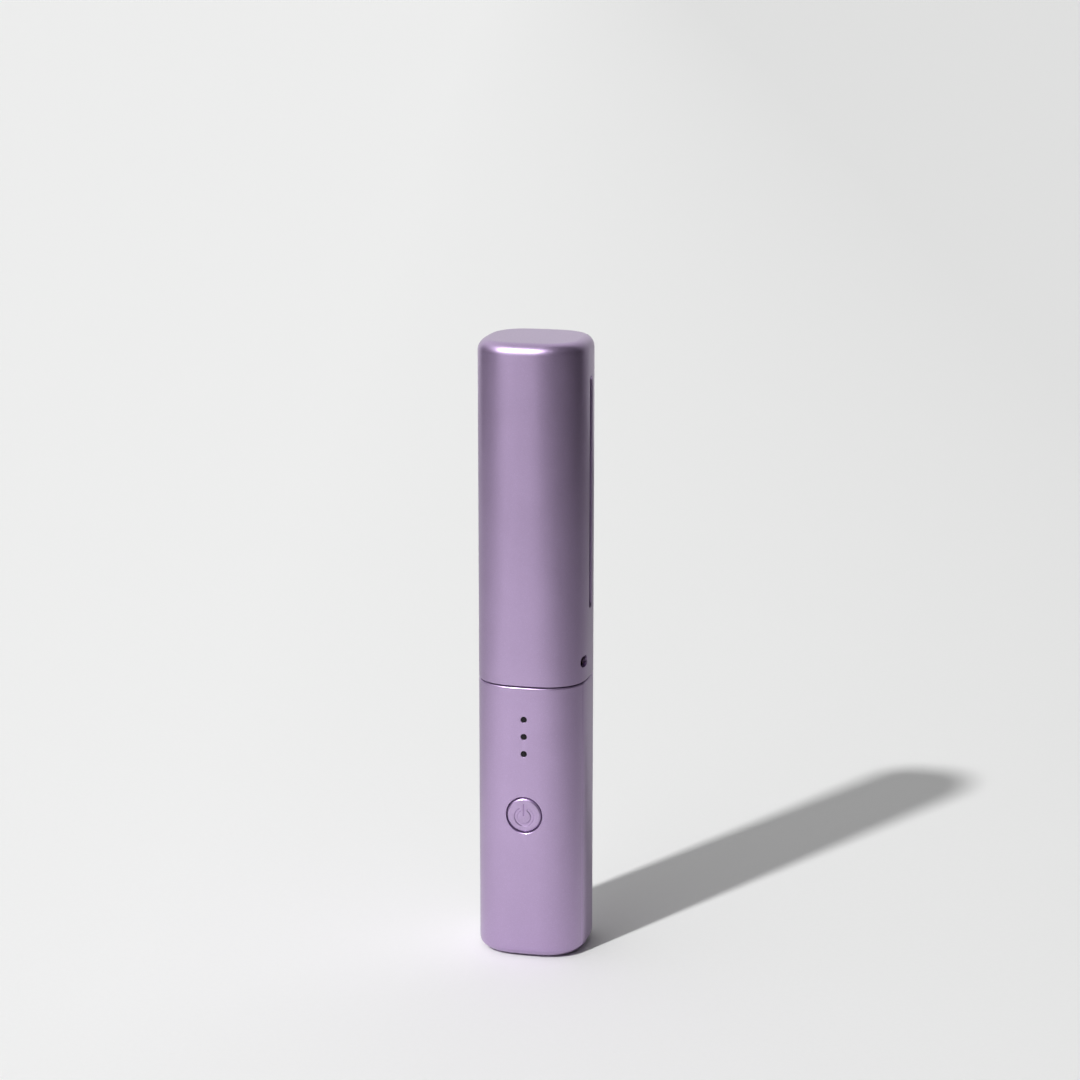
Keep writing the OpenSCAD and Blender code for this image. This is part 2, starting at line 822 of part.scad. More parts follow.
module lamp_electrodes() {
    color(steel) translate([0, 0, lamp_z]) {
        rod_x(1.5, lamp_half, 12.5);
        rod_x(1.5, -12.5, -lamp_half);
    }
}

// Orange filter over the lamp
module filter_glass() {
    color([0.95, 0.55, 0.15, 0.6]) block([-window_len / 2 - 0.8, -window_w / 2 - 0.8, glass_low],
        [window_len / 2 + 0.8, window_w / 2 + 0.8, glass_low + glass_h]);
}

// Cover of the head: holds the glass and guides the contact frame
module window_bezel() {
    color(plum) difference() {
        union() {
            round_block(head_w, head_d, head_r, bezel_seat, bezel_top, 0, 2);
            round_prism(head_in_w - 0.2, head_in_d - 0.2, head_in_r - 0.1, bezel_low, bezel_seat + 1);
        }
        block([-window_len / 2, -window_w / 2, bezel_low - 1],
            [window_len / 2, window_w / 2, bezel_top + 1]);
        block([-window_len / 2 - 1, -window_w / 2 - 1.4, bezel_low - 1],
            [window_len / 2 + 1, window_w / 2 + 1.4, glass_low + glass_h]);
        round_prism(window_len + 2 * frame_wall + 0.8, window_w + 2 * frame_wall + 0.8, 2.2,
            frame_well_low, bezel_top + 1);
        for (sx = [-1, 1], sy = [-1, 1])
            translate([sx * (window_len + frame_wall) / 2, sy * (window_w + frame_wall) / 2, spring_seat])
                cylinder(r = 0.95, h = 5);
        for (side = [-1, 1])
            translate([side * switch_x, 0, 0])
                block([-0.85, -1.6, switch_seat], [0.85, 1.6, frame_low]);
    }
}

// Sprung frame that the skin presses before a flash
module contact_frame() {
    color([0.85, 0.85, 0.88]) difference() {
        round_prism(window_len + 2 * frame_wall + 0.4, window_w + 2 * frame_wall + 0.4, 2,
            frame_low, frame_top);
        round_prism(window_len + 0.4, window_w + 0.4, 0.6, frame_low - 1, frame_top + 1);
    }
}

module contact_springs() {
    color(steel) for (sx = [-1, 1], sy = [-1, 1])
        translate([sx * (window_len + frame_wall) / 2, sy * (window_w + frame_wall) / 2, spring_seat + 0.02])
            coil_spring(0.7, 0.12, 4, frame_low - spring_seat - 0.04);
}

module contact_switches() {
    color(black) for (side = [-1, 1])
        translate([side * switch_x, 0, 0])
            block([-0.8, -1.5, switch_seat], [0.8, 1.5, frame_well_low]);
}

// ---------- Cap ----------

// Pull-off cap: one shell with a vent slot and the catch hole
module cap_shell() {
    cut_from = cap_in_w / 2 - 6;
    color(lilac) difference() {
        round_block(body_w, body_d, corner_r, cap_low, total_h, 0.25, cap_fillet);
        round_block(cap_in_w, cap_in_d, cap_in_r, cap_low - 5, cap_ceiling, 0, 2);
        rotate([90, 0, 90]) translate([0, 0, cut_from]) linear_extrude(body_w)
            slot_outline(slot_w, slot_low, slot_high);
        translate([cut_from, catch_y, catch_z]) rotate([90, 0, 90]) linear_extrude(body_w)
            rotate(90) slot_outline(catch_hole_h, -catch_hole_w / 2, catch_hole_w / 2);
    }
}

// Soft pad on the cap's ceiling
module cap_pad() {
    color(black) round_prism(20, 19, 5, cap_ceiling - 0.6, cap_ceiling);
}

front_shell();
rear_shell();
base_plate();
foot_pad();
base_screws();
chassis();
chassis_screws();
control_board();
controller_chip();
status_leds();
light_guide();
indicator_lenses();
switch_body();
power_button();
switch_plunger();
battery_cell();
battery_tabs();
battery_leads();
charge_board();
charge_port();
charge_screws();
neck_screws();
head_housing();
seal_ring();
catch_sleeve();
catch_spring();
catch_ball();
flash_capacitor();
capacitor_clamp();
flash_board();
charger_transformer();
trigger_coil();
power_transistor();
head_harness();
fan_frame();
fan_bearing();
fan_stator();
fan_rotor();
fan_shaft();
heat_sink();
reflector();
lamp_holders();
flash_lamp();
lamp_electrodes();
filter_glass();
window_bezel();
contact_frame();
contact_springs();
contact_switches();
cap_shell();
cap_pad();
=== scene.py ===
"""Looks of a slim handheld hair remover with a pull-off cap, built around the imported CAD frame."""

import json
import math

import bmesh
import bpy
from mathutils import Matrix, Vector


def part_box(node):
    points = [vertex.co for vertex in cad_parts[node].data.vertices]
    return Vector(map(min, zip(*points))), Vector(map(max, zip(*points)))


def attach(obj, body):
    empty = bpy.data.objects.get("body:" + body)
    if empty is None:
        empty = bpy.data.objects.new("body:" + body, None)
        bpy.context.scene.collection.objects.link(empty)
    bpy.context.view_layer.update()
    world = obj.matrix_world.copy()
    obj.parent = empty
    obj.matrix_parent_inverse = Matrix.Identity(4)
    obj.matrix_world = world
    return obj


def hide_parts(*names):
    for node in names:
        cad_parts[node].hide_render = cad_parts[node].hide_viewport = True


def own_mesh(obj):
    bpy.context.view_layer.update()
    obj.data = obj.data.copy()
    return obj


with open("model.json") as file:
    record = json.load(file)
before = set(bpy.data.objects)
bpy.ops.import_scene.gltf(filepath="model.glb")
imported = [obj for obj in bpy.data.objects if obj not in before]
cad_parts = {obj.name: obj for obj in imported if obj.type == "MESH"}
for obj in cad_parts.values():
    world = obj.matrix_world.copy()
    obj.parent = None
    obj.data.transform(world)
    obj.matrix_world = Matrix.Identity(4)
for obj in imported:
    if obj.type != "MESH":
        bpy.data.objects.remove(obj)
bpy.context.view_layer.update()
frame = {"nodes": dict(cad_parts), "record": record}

MM = 0.001

# ---------- Sizes read from the frame ----------

cap_low, cap_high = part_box("cap_shell")
front_low, front_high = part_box("front_shell")
rear_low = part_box("rear_shell")[0]
button_low, button_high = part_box("power_button")
lens_low, lens_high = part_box("indicator_lenses")
port_low, port_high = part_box("charge_port")
ball_low, ball_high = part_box("catch_ball")

half_w = cap_high.x
half_d = cap_high.y
seam_z = front_high.z
foot_z = front_low.z
button_z = (button_low.z + button_high.z) / 2
part_y = rear_low.y
lens_r = (lens_high.x - lens_low.x) / 2
lens_heights = [lens_low.z + lens_r, (lens_low.z + lens_high.z) / 2, lens_high.z - lens_r]

# ---------- Details finer than the frame's boxes ----------

corner_r = 12.4 * MM
overcut = MM              # how far a cutter runs out past the face that it cuts
skin = 0.02 * MM          # where a flared cutter reaches its full size, just outside that face

cap_fillet = 3.4 * MM
cap_wall = 1.4 * MM
cap_ceiling = 2.4 * MM
cap_inner_round = 2 * MM
cap_lip = 0.25 * MM
cap_edge = 0.12 * MM
slot_low, slot_high = 104 * MM, 172.5 * MM
slot_half = 1.5 * MM
slot_flare = 0.35 * MM
catch_half_w, catch_half_h = 2.3 * MM, 1.7 * MM

handle_wall = 1.6 * MM
base_fillet = 3.0 * MM
base_opening = (12.3 * MM, 11.8 * MM, 7 * MM)
floor_top = 2.4 * MM
rim_round = 0.4 * MM
groove = 0.24 * MM
button_hole_r, button_hole_lip = 5.45 * MM, 0.4 * MM
lens_gap, lens_lip = 0.02 * MM, 0.1 * MM
port_half_w, port_half_h = 5 * MM, 1.9 * MM

button_r = 5.15 * MM
button_shoulder = 0.75 * MM
button_flange_r, button_flange = 5.75 * MM, 0.7 * MM
button_bore = 0.6 * MM
button_dish = 2.9 * MM
sign_depth = 0.25 * MM
sign_flare, sign_taper = 0.12 * MM, 0.06 * MM
ring_r, ring_half, ring_drop = 2.42 * MM, 0.42 * MM, 0.5 * MM
bar_half_w, bar_half_h, bar_rise = 0.22 * MM, 1.7 * MM, 1.6 * MM
lens_dome = 0.18 * MM
foot_edge, foot_corner = 0.2 * MM, 4.6 * MM

CORNER_STEPS = 20         # points along a quarter of the body's outline
ARC_STEPS = 10            # points along a small round in the body's profile
SIDE_STEPS = 6            # points along a straight side
SECTION_POWER = 2.8       # how square the eased outer skin is: 2 is an ellipse
RING_OPENING = 33         # half the angle of the gap in the power sign's ring
WELD = 2e-6               # vertices of a CAD mesh this close are one
FLAT = 0.6                # CAD facets that differ by less than this many degrees are one face


# ---------- Meshes ----------

def make_object(name, bm):
    """New object from a bmesh, with its normals facing out."""
    bmesh.ops.recalc_face_normals(bm, faces=bm.faces)
    mesh = bpy.data.meshes.new(name)
    bm.to_mesh(mesh)
    bm.free()
    obj = bpy.data.objects.new(name, mesh)
    bpy.context.scene.collection.objects.link(obj)
    return obj


def apply_modifiers(obj):
    """Replaces the object's mesh with the result of its modifiers."""
    bpy.context.view_layer.update()
    graph = bpy.context.evaluated_depsgraph_get()
    mesh = bpy.data.meshes.new_from_object(obj.evaluated_get(graph))
    obj.modifiers.clear()
    obj.data = mesh
    return obj


def shade(obj, angle=35):
    """Smooth shading, with edges sharper than the angle kept crisp."""
    bm = bmesh.new()
    bm.from_mesh(obj.data)
    for face in bm.faces:
        face.smooth = True
    for edge in bm.edges:
        edge.smooth = len(edge.link_faces) == 2 and edge.calc_face_angle(0) < math.radians(angle)
    bm.to_mesh(obj.data)
    bm.free()
    weighted = obj.modifiers.new("weighted", "WEIGHTED_NORMAL")
    weighted.keep_sharp = True
    return obj


def bevel(obj, width, segments=2, angle=35):
    """Small rounding on every edge sharper than the angle."""
    edge = obj.modifiers.new("bevel", "BEVEL")
    edge.width = width
    edge.segments = segments
    edge.limit_method = "ANGLE"
    edge.angle_limit = math.radians(angle)
    edge.miter_outer = "MITER_ARC"
    return apply_modifiers(obj)


def cut(obj, cutter):
    """Takes the cutter's volume out of the object and deletes the cutter."""
    boolean = obj.modifiers.new("cut", "BOOLEAN")
    boolean.operation = "DIFFERENCE"
    boolean.solver = "EXACT"
    boolean.object = cutter
    apply_modifiers(obj)
    bpy.data.objects.remove(cutter)
    return obj


def arc(centre, radius, start, end, steps):
    """Points on a circle between two angles in degrees, both ends included."""
    angles = [math.radians(start + (end - start) * i / steps) for i in range(steps + 1)]
    return [(centre[0] + radius * math.cos(a), centre[1] + radius * math.sin(a)) for a in angles]


def rounded_outline(half_x, half_y, radius):
    """Rounded rectangle, anticlockwise, with extra points along its straight stretches."""
    corners = [(1, 1, 0), (-1, 1, 90), (-1, -1, 180), (1, -1, 270)]
    points = []
    for sx, sy, start in corners:
        centre = (sx * (half_x - radius), sy * (half_y - radius))
        points += arc(centre, radius, start, start + 90, CORNER_STEPS)
    result = []
    for i, point in enumerate(points):
        result.append(point)
        if i % (CORNER_STEPS + 1) == CORNER_STEPS:
            after = points[(i + 1) % len(points)]
            result += [
                (point[0] + (after[0] - point[0]) * k / SIDE_STEPS,
                 point[1] + (after[1] - point[1]) * k / SIDE_STEPS)
                for k in range(1, SIDE_STEPS)
            ]
    return result


def loft(name, rings):
    """Closed skin over rings of 3-D points, all with the same count."""
    bm = bmesh.new()
    rows = [[bm.verts.new(p) for p in ring] for ring in rings]
    count = len(rows[0])
    for lower, upper in zip(rows, rows[1:]):
        for i in range(count):
            j = (i + 1) % count
            bm.faces.new((lower[i], lower[j], upper[j], upper[i]))
    bm.faces.new(rows[0])
    bm.faces.new(rows[-1])
    return make_object(name, bm)


def spread(low, high, count):
    """Evenly spaced values between two others, both ends left out."""
    return [low + (high - low) * i / count for i in range(1, count)]


def quarter(inset_from, inset_to, z_from, z_to, start, end):
    """(inset, height) pairs along a quarter circle from one place to another, by its angles in degrees."""
    circle = arc((0, 0), 1, start, end, ARC_STEPS)
    first_c, first_s = circle[0]
    last_c, last_s = circle[-1]
    return [
        (inset_from + (inset_to - inset_from) * (c - first_c) / (last_c - first_c),
         z_from + (z_to - z_from) * (s - first_s) / (last_s - first_s))
        for c, s in circle
    ]


def prism_rings(half_x, half_y, radius, profile):
    """Rings of a rounded rectangle, one for each (inset, height) pair."""
    return [
        [(x, y, z) for x, y in rounded_outline(half_x - inset, half_y - inset, radius - inset)]
        for inset, z in profile
    ]


def rolled_edge(radius, depth, steps, outwards):
    """(radius, depth) pairs where a round wall rolls over into its face, outwards (1) or inwards (-1)."""
    angles = [math.radians(90 * i / steps) for i in range(1, steps + 1)]
    return [(radius + outwards * depth * (1 - math.cos(a)), depth * (1 - math.sin(a))) for a in angles]


def section_reach(across, along):
    """Distance from the axis to the body's rounded rectangle, in a direction given as a unit vector."""
    core_x, core_y = half_w - corner_r, half_d - corner_r
    if across * half_d <= along * core_x:
        return half_d / along
    if along * half_w <= across * core_y:
        return half_w / across
    centre = across * core_x + along * core_y
    return centre + math.sqrt(centre ** 2 - core_x ** 2 - core_y ** 2 + corner_r ** 2)


def eased(ring):
    """The ring's points moved along their radius so that the flat sides run smoothly into the corners."""
    power = SECTION_POWER
    result = []
    for x, y, *z in ring:
        reach = math.hypot(x, y)
        across, along = abs(x) / reach, abs(y) / reach
        smooth = ((across / half_w) ** power + (along / half_d) ** power) ** (-1 / power)
        share = smooth / section_reach(across, along)
        result.append((x * share, y * share, *z))
    return result


def revolve(name, profile, centre, axis, steps=96):
    """Solid of revolution: (radius, height along the axis) pairs, both ends on the axis closed."""
    turn = Vector((0, 0, 1)).rotation_difference(Vector(axis)).to_matrix().to_4x4()
    place = Matrix.Translation(centre) @ turn
    rings = []
    for radius, height in profile:
        ring = [
            place @ Vector((radius * math.cos(a), radius * math.sin(a), height))
            for a in (2 * math.pi * i / steps for i in range(steps))
        ]
        rings.append(ring)
    return loft(name, rings)


def stadium(half_length, half_width, steps=12):
    """Outline with round ends, long in its first direction."""
    reach = half_length - half_width
    return arc((reach, 0), half_width, -90, 90, steps) + arc((-reach, 0), half_width, 90, 270, steps)


# ---------- Cap ----------

def build_cap():
    """One-piece cap with a rounded top edge, a vent slot and a catch hole, both with softened lips."""
    ceiling = cap_high.z - cap_ceiling
    low, high = cap_low.z, cap_high.z
    inside = quarter(cap_wall + cap_inner_round, cap_wall, ceiling, ceiling - cap_inner_round, 90, 0)
    inside += [(cap_wall, z) for z in spread(ceiling - cap_inner_round, low + cap_lip, 24)]
    inside += [(cap_wall, low + cap_lip), (cap_wall - cap_lip / 2, low)]
    profile = [(cap_lip, low)]
    profile += quarter(cap_lip, 0, low, low + cap_lip, -90, 0)
    profile += [(0, z) for z in spread(low + cap_lip, high - cap_fillet, 32)]
    profile += quarter(0, cap_fillet, high - cap_fillet, high, 0, 90)
    outside = [eased(ring) for ring in prism_rings(half_w, half_d, corner_r, profile)]
    cap = loft("cap_skin", prism_rings(half_w, half_d, corner_r, inside) + outside)

    # (depth under the side face, growth of the slot's outline), from the inside out
    slot_steps = [(2 * cap_wall, 0), (slot_flare, 0), (slot_flare * 0.3, slot_flare * 0.3),
                  (-skin, slot_flare), (-overcut, 2 * slot_flare)]
    slot_middle = (slot_low + slot_high) / 2
    rings = []
    for depth, grow in slot_steps:
        outline = stadium((slot_high - slot_low) / 2 + grow, slot_half + grow)
        rings.append([(half_w - depth, v, slot_middle + u) for u, v in outline])
    cut(cap, loft("slot_cutter", rings))

    hole_y = (ball_low.y + ball_high.y) / 2
    hole_z = (ball_low.z + ball_high.z) / 2
    outline = stadium(catch_half_w, catch_half_h)
    rings = [
        [(half_w - depth, hole_y + u, hole_z + v) for u, v in outline]
        for depth in (3 * cap_wall, -overcut)
    ]
    cut(cap, loft("catch_cutter", rings))
    return shade(bevel(cap, cap_edge, 3, 50))


# ---------- Handle shells ----------

def half_path(half_x, half_y, radius, cut_y, front, notch):
    """Outline of one half of a rounded rectangle, from its cut on the +X side round to the other.

    The cut runs across at cut_y, and the outline is chamfered by the notch beside it."""
    centre_x = half_x - radius
    centre_y = half_y - radius
    dip = math.degrees(math.asin(min(1, (-cut_y - centre_y) / radius)))
    notch_angle = math.degrees(notch / radius)
    if front:
        side = arc((centre_x, -centre_y), radius, -dip - notch_angle, -90, CORNER_STEPS)
        side += [(centre_x * k / 3, -half_y) for k in (2, 1)]
    else:
        side = arc((centre_x, -centre_y), radius, -dip + notch_angle, 0, 4)
        side += [(half_x, -centre_y + 2 * centre_y * k / 3) for k in (1, 2)]
        side += arc((centre_x, centre_y), radius, 0, 90, CORNER_STEPS)
        side += [(centre_x * k / 3, half_y) for k in (2, 1)]
    start = (centre_x + (radius - notch) * math.cos(math.radians(dip)), cut_y)
    right = [start] + side
    middle = [(0, -half_y if front else half_y)]
    left = [(-x, y) for x, y in reversed(right)]
    return right + middle + left


def shell_half(name, front):
    """Half of the handle as a C-shaped wall with a floor, a rounded base edge and a fine parting groove."""
    def ring(outer_inset, inner, z):
        outer = half_path(half_w - outer_inset, half_d - outer_inset, corner_r - outer_inset,
                          part_y, front, groove)
        inside = half_path(*inner, part_y, front, 0)
        return [(x, y, z) for x, y in eased(outer)], [(x, y, z) for x, y in inside]

    wall = (half_w - handle_wall, half_d - handle_wall, corner_r - handle_wall)
    pairs = [ring(base_fillet, base_opening, foot_z)]
    arcs = quarter(base_fillet, 0, foot_z, foot_z + base_fillet, -90, 0)
    stepped = False
    for inset, z in arcs[1:]:
        if z > floor_top and not stepped:
            pairs.append(ring(inset, base_opening, floor_top))
            pairs.append(ring(inset, wall, floor_top))
            stepped = True
        pairs.append(ring(inset, wall if stepped else base_opening, z))
    top = seam_z - rim_round
    pairs += [ring(0, wall, z) for z in spread(foot_z + base_fillet, top, 30)]
    pairs += [ring(inset, wall, z) for inset, z in quarter(0, rim_round, top, seam_z, 0, 90)]

    bm = bmesh.new()
    rows = [[bm.verts.new(p) for p in outer + inside[::-1]] for outer, inside in pairs]
    count = len(rows[0])
    half = count // 2
    for lower, upper in zip(rows, rows[1:]):
        for i in range(count):
            j = (i + 1) % count
            bm.faces.new((lower[i], lower[j], upper[j], upper[i]))
    for row in (rows[0], rows[-1]):
        for i in range(half - 1):
            bm.faces.new((row[i], row[i + 1], row[count - 2 - i], row[count - 1 - i]))
    bmesh.ops.remove_doubles(bm, verts=bm.verts, dist=1e-7)
    return make_object(name, bm)


def lipped_hole(obj, z, radius, lip):
    """Round hole through the front wall at a height, its outer edge rolled over by the lip radius."""
    profile = [(radius, 2.5 * handle_wall), (radius, lip)]
    profile += rolled_edge(radius, lip, 6, 1)
    profile.append((radius + lip, -overcut))
    cut(obj, revolve("hole_cutter", profile, Vector((0, -half_d, z)), (0, 1, 0)))


def build_front_shell():
    """Front half of the handle, with a rolled hole for the button and one for each lens."""
    front = shell_half("front_skin", True)
    lipped_hole(front, button_z, button_hole_r, button_hole_lip)
    for z in lens_heights:
        lipped_hole(front, z, lens_r + lens_gap, lens_lip)
    return shade(front, 40)


def build_rear_shell():
    """Back half of the handle, with a dished opening round the charging inlet."""
    rear = shell_half("rear_skin", False)
    port_z = (port_low.z + port_high.z) / 2
    # (depth under the rear face, growth of the opening's outline), from the inside out
    port_steps = [(3 * MM, 0), (0.4 * MM, 0), (0.12 * MM, 0.1 * MM), (-skin, 0.35 * MM),
                  (-overcut, 0.7 * MM)]
    rings = []
    for depth, grow in port_steps:
        outline = stadium(port_half_w + grow, port_half_h + grow)
        rings.append([(u, half_d - depth, port_z + v) for u, v in outline])
    cut(rear, loft("port_cutter", rings))
    return shade(rear, 40)


# ---------- Controls ----------

def ring_sign(grow):
    """Outline of the power sign's open ring, its stroke widened on both sides by grow."""
    half = ring_half + grow
    start, end = 90 + RING_OPENING, 450 - RING_OPENING

    def tip(angle):
        a = math.radians(angle)
        return ring_r * math.cos(a), ring_r * math.sin(a) - ring_drop

    outline = arc((0, -ring_drop), ring_r + half, start, end, 48)
    outline += arc(tip(end), half, end, end + 180, 8)[1:-1]
    outline += arc((0, -ring_drop), ring_r - half, end, start, 48)
    return outline + arc(tip(start), half, start + 180, start + 360, 8)[1:-1]


def bar_sign(grow):
    """Outline of the power sign's upright stroke."""
    return [(v, u + bar_rise) for u, v in stadium(bar_half_h + grow, bar_half_w + grow, 8)]


def build_button():
    """Round button with a soft shoulder and an engraved power sign."""
    face = button_low.y
    back = button_high.y - face
    front = back - button_flange
    profile = [(button_bore, back), (button_flange_r, back), (button_flange_r, front), (button_r, front),
               (button_r, button_shoulder)]
    profile += rolled_edge(button_r, button_shoulder, 8, -1)
    profile += [(button_dish, 0), (button_bore, 0)]
    button = revolve("button_cap", profile, Vector((0, face, button_z)), (0, 1, 0), 128)

    for outline_at in (ring_sign, bar_sign):
        rings = []
        for depth, grow in [(-overcut, sign_flare), (0, sign_flare), (sign_depth, -sign_taper)]:
            rings.append([(u, face + depth, button_z + v) for u, v in outline_at(grow)])
        cut(button, loft("sign_cutter", rings))
    return shade(bevel(button, 0.05 * MM, 2, 50), 40)


def build_lenses():
    """Three smoked lenses, each slightly domed."""
    depth = lens_high.y - lens_low.y
    tip = 0.05 * MM
    profile = [(tip, depth), (lens_r, depth), (lens_r, lens_dome)]
    for k in range(1, 8):
        a = math.radians(90 * k / 7)
        profile.append((max(lens_r * math.cos(a), tip), lens_dome * (1 - math.sin(a))))
    lenses = []
    for i, z in enumerate(lens_heights):
        place = Vector((0, lens_low.y, z))
        lenses.append(shade(revolve(f"indicator_lens_{i + 1}", profile, place, (0, 1, 0), 40), 50))
    return lenses


def build_foot():
    """Rubber foot with a rounded lower edge."""
    low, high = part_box("foot_pad")
    profile = quarter(foot_edge, 0, low.z, low.z + foot_edge, -90, 0) + [(0, high.z)]
    return shade(loft("foot_rubber_pad", prism_rings(high.x, high.y, foot_corner, profile)))


# ---------- Refined copies of CAD nodes ----------

def refine(node, width):
    """Copy of a CAD node with its flat faces joined and its edges rounded a little."""
    bm = bmesh.new()
    bm.from_mesh(frame["nodes"][node].data)
    bmesh.ops.remove_doubles(bm, verts=bm.verts, dist=WELD)
    bmesh.ops.dissolve_limit(bm, angle_limit=math.radians(FLAT), verts=bm.verts, edges=bm.edges)
    obj = make_object(node + "_piece", bm)
    return shade(bevel(obj, width, 2, 40), 40)


def squeezed_spring(node):
    """Copy of a spring's CAD node, as it is."""
    bm = bmesh.new()
    bm.from_mesh(frame["nodes"][node].data)
    obj = shade(make_object(node + "_piece", bm), 40)
    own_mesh(obj)
    return obj


# ---------- Materials ----------

PAINT_METAL = 0.8
PAINT_ROUGH = 0.33
LILAC = (0.49, 0.365, 0.585)


class Nodes:
    """Short way to add and join nodes in a tree."""

    def __init__(self, tree):
        self.tree = tree

    def add(self, kind, **values):
        node = self.tree.nodes.new(kind)
        for key, value in values.items():
            setattr(node, key, value)
        return node

    def link(self, a, b):
        self.tree.links.new(a, b)

    def span(self, value, low, high, out_low, out_high):
        """Value carried from one range over to another, and held at the second one's ends."""
        node = self.add("ShaderNodeMapRange")
        node.clamp = True
        for key, number in zip(("From Min", "From Max", "To Min", "To Max"), (low, high, out_low, out_high)):
            node.inputs[key].default_value = number
        self.link(value, node.inputs["Value"])
        return node.outputs["Result"]

    def mix(self, factor, a, b):
        """Colour between a and b, each a colour or a socket."""
        node = self.add("ShaderNodeMix", data_type="RGBA")
        self.link(factor, node.inputs["Factor"])
        for socket, value in ((node.inputs[6], a), (node.inputs[7], b)):
            if isinstance(value, bpy.types.NodeSocket):
                self.link(value, socket)
            else:
                socket.default_value = (*value[:3], 1)
        return node.outputs[2]


class Finish(Nodes):
    """Nodes of a new material, round its Principled shader."""

    def __init__(self, name):
        self.material = bpy.data.materials.new(name)
        self.material.use_nodes = True
        super().__init__(self.material.node_tree)
        self.shader = self.tree.nodes["Principled BSDF"]
        self.place = self.tree.nodes.new("ShaderNodeTexCoord").outputs["Object"]

    def noise(self, scale, detail=3, stretch=None):
        """Fractal noise over the object, optionally stretched along its axes."""
        place = self.place
        if stretch:
            mapping = self.add("ShaderNodeMapping")
            mapping.inputs["Scale"].default_value = stretch
            self.link(place, mapping.inputs["Vector"])
            place = mapping.outputs["Vector"]
        noise = self.add("ShaderNodeTexNoise")
        noise.inputs["Scale"].default_value = scale
        noise.inputs["Detail"].default_value = detail
        self.link(place, noise.inputs["Vector"])
        return noise.outputs["Fac"]

    def bump(self, height, strength, distance):
        node = self.add("ShaderNodeBump")
        node.inputs["Strength"].default_value = strength
        node.inputs["Distance"].default_value = distance
        self.link(height, node.inputs["Height"])
        self.link(node.outputs["Normal"], self.shader.inputs["Normal"])

    def edges(self, low=0.52, high=0.6):
        """1 on convex edges, 0 elsewhere."""
        geometry = self.add("ShaderNodeNewGeometry")
        return self.span(geometry.outputs["Pointiness"], low, high, 0, 1)


def shade_of(colour, factor):
    """The colour made lighter or darker."""
    return tuple(min(1, c * factor) for c in colour[:3])


def surface(name, colour, rough, metal=0.0, grain=1500, vary=0.1, rough_vary=0.06, bump=0.15, depth=2e-5,
            edge_highlight=0.15, stretch=None, coat=0.0, transmission=0.0, specular=0.5):
    """Procedural finish: broad and fine colour change, uneven gloss, a painted highlight on convex edges and
    a fine relief.
    """
    m = Finish(name)
    fine = m.noise(grain, 4, stretch)
    broad = m.noise(grain / 40, 2)
    tone = m.mix(m.span(broad, 0.3, 0.7, 0, 1), shade_of(colour, 1 - vary), shade_of(colour, 1 + vary))
    tone = m.mix(m.span(fine, 0.35, 0.65, 0, vary * 1.5), tone, shade_of(colour, 0.6))
    # painted highlight: convex edges are painted lighter, as if they caught the light
    tone = m.mix(m.span(m.edges(), 0, 1, 0, edge_highlight), tone, shade_of(colour, 1.6))
    m.link(tone, m.shader.inputs["Base Color"])
    m.link(m.span(fine, 0.3, 0.7, rough - rough_vary, rough + rough_vary), m.shader.inputs["Roughness"])
    m.bump(fine, bump, depth)
    m.shader.inputs["Metallic"].default_value = metal
    m.shader.inputs["Specular IOR Level"].default_value = specular
    m.shader.inputs["Coat Weight"].default_value = coat
    m.shader.inputs["Coat Roughness"].default_value = 0.08
    m.shader.inputs["Transmission Weight"].default_value = transmission
    return m.material


def metallic_paint(name, colour):
    """Satin lavender paint with fine metal flake and a painted highlight on its convex edges."""
    m = Finish(name)
    flakes = m.add("ShaderNodeTexVoronoi")
    flakes.inputs["Scale"].default_value = 5200
    m.link(m.place, flakes.inputs["Vector"])
    sparkle = m.add("ShaderNodeSeparateColor")
    m.link(flakes.outputs["Color"], sparkle.inputs["Color"])
    broad = m.noise(45, 2)
    fine = m.noise(2600, 3)
    tone = m.mix(m.span(broad, 0.3, 0.7, 0, 1), shade_of(colour, 0.97), shade_of(colour, 1.03))
    tone = m.mix(m.span(sparkle.outputs["Red"], 0, 1, 0, 0.1), tone, shade_of(colour, 0.55))
    tone = m.mix(m.span(sparkle.outputs["Green"], 0.8, 1, 0, 0.14), tone, shade_of(colour, 1.5))
    # painted highlight: convex edges are painted a little lighter
    tone = m.mix(m.span(m.edges(0.53, 0.62), 0, 1, 0, 0.12), tone, shade_of(colour, 1.4))
    m.link(tone, m.shader.inputs["Base Color"])
    rough = m.span(sparkle.outputs["Blue"], 0, 1, PAINT_ROUGH - 0.05, PAINT_ROUGH + 0.07)
    m.link(rough, m.shader.inputs["Roughness"])
    m.bump(fine, 0.05, 1e-5)
    m.shader.inputs["Metallic"].default_value = PAINT_METAL
    m.shader.inputs["Coat Weight"].default_value = 0.35
    m.shader.inputs["Coat Roughness"].default_value = 0.2
    return m.material


def pcb(name, colour):
    """Solder mask over copper tracks, with fine glass-cloth relief."""
    m = Finish(name)
    tracks = m.add("ShaderNodeTexBrick")
    tracks.inputs["Scale"].default_value = 260
    tracks.inputs["Mortar Size"].default_value = 0.03
    m.link(m.place, tracks.inputs["Vector"])
    fine = m.noise(3000, 3)
    tone = m.mix(m.span(tracks.outputs["Fac"], 0, 1, 0, 0.5), colour, shade_of(colour, 2.2))
    tone = m.mix(m.span(fine, 0.35, 0.65, 0, 0.25), tone, shade_of(colour, 0.6))
    m.link(tone, m.shader.inputs["Base Color"])
    m.link(m.span(fine, 0.3, 0.7, 0.28, 0.42), m.shader.inputs["Roughness"])
    m.bump(fine, 0.1, 1e-5)
    return m.material


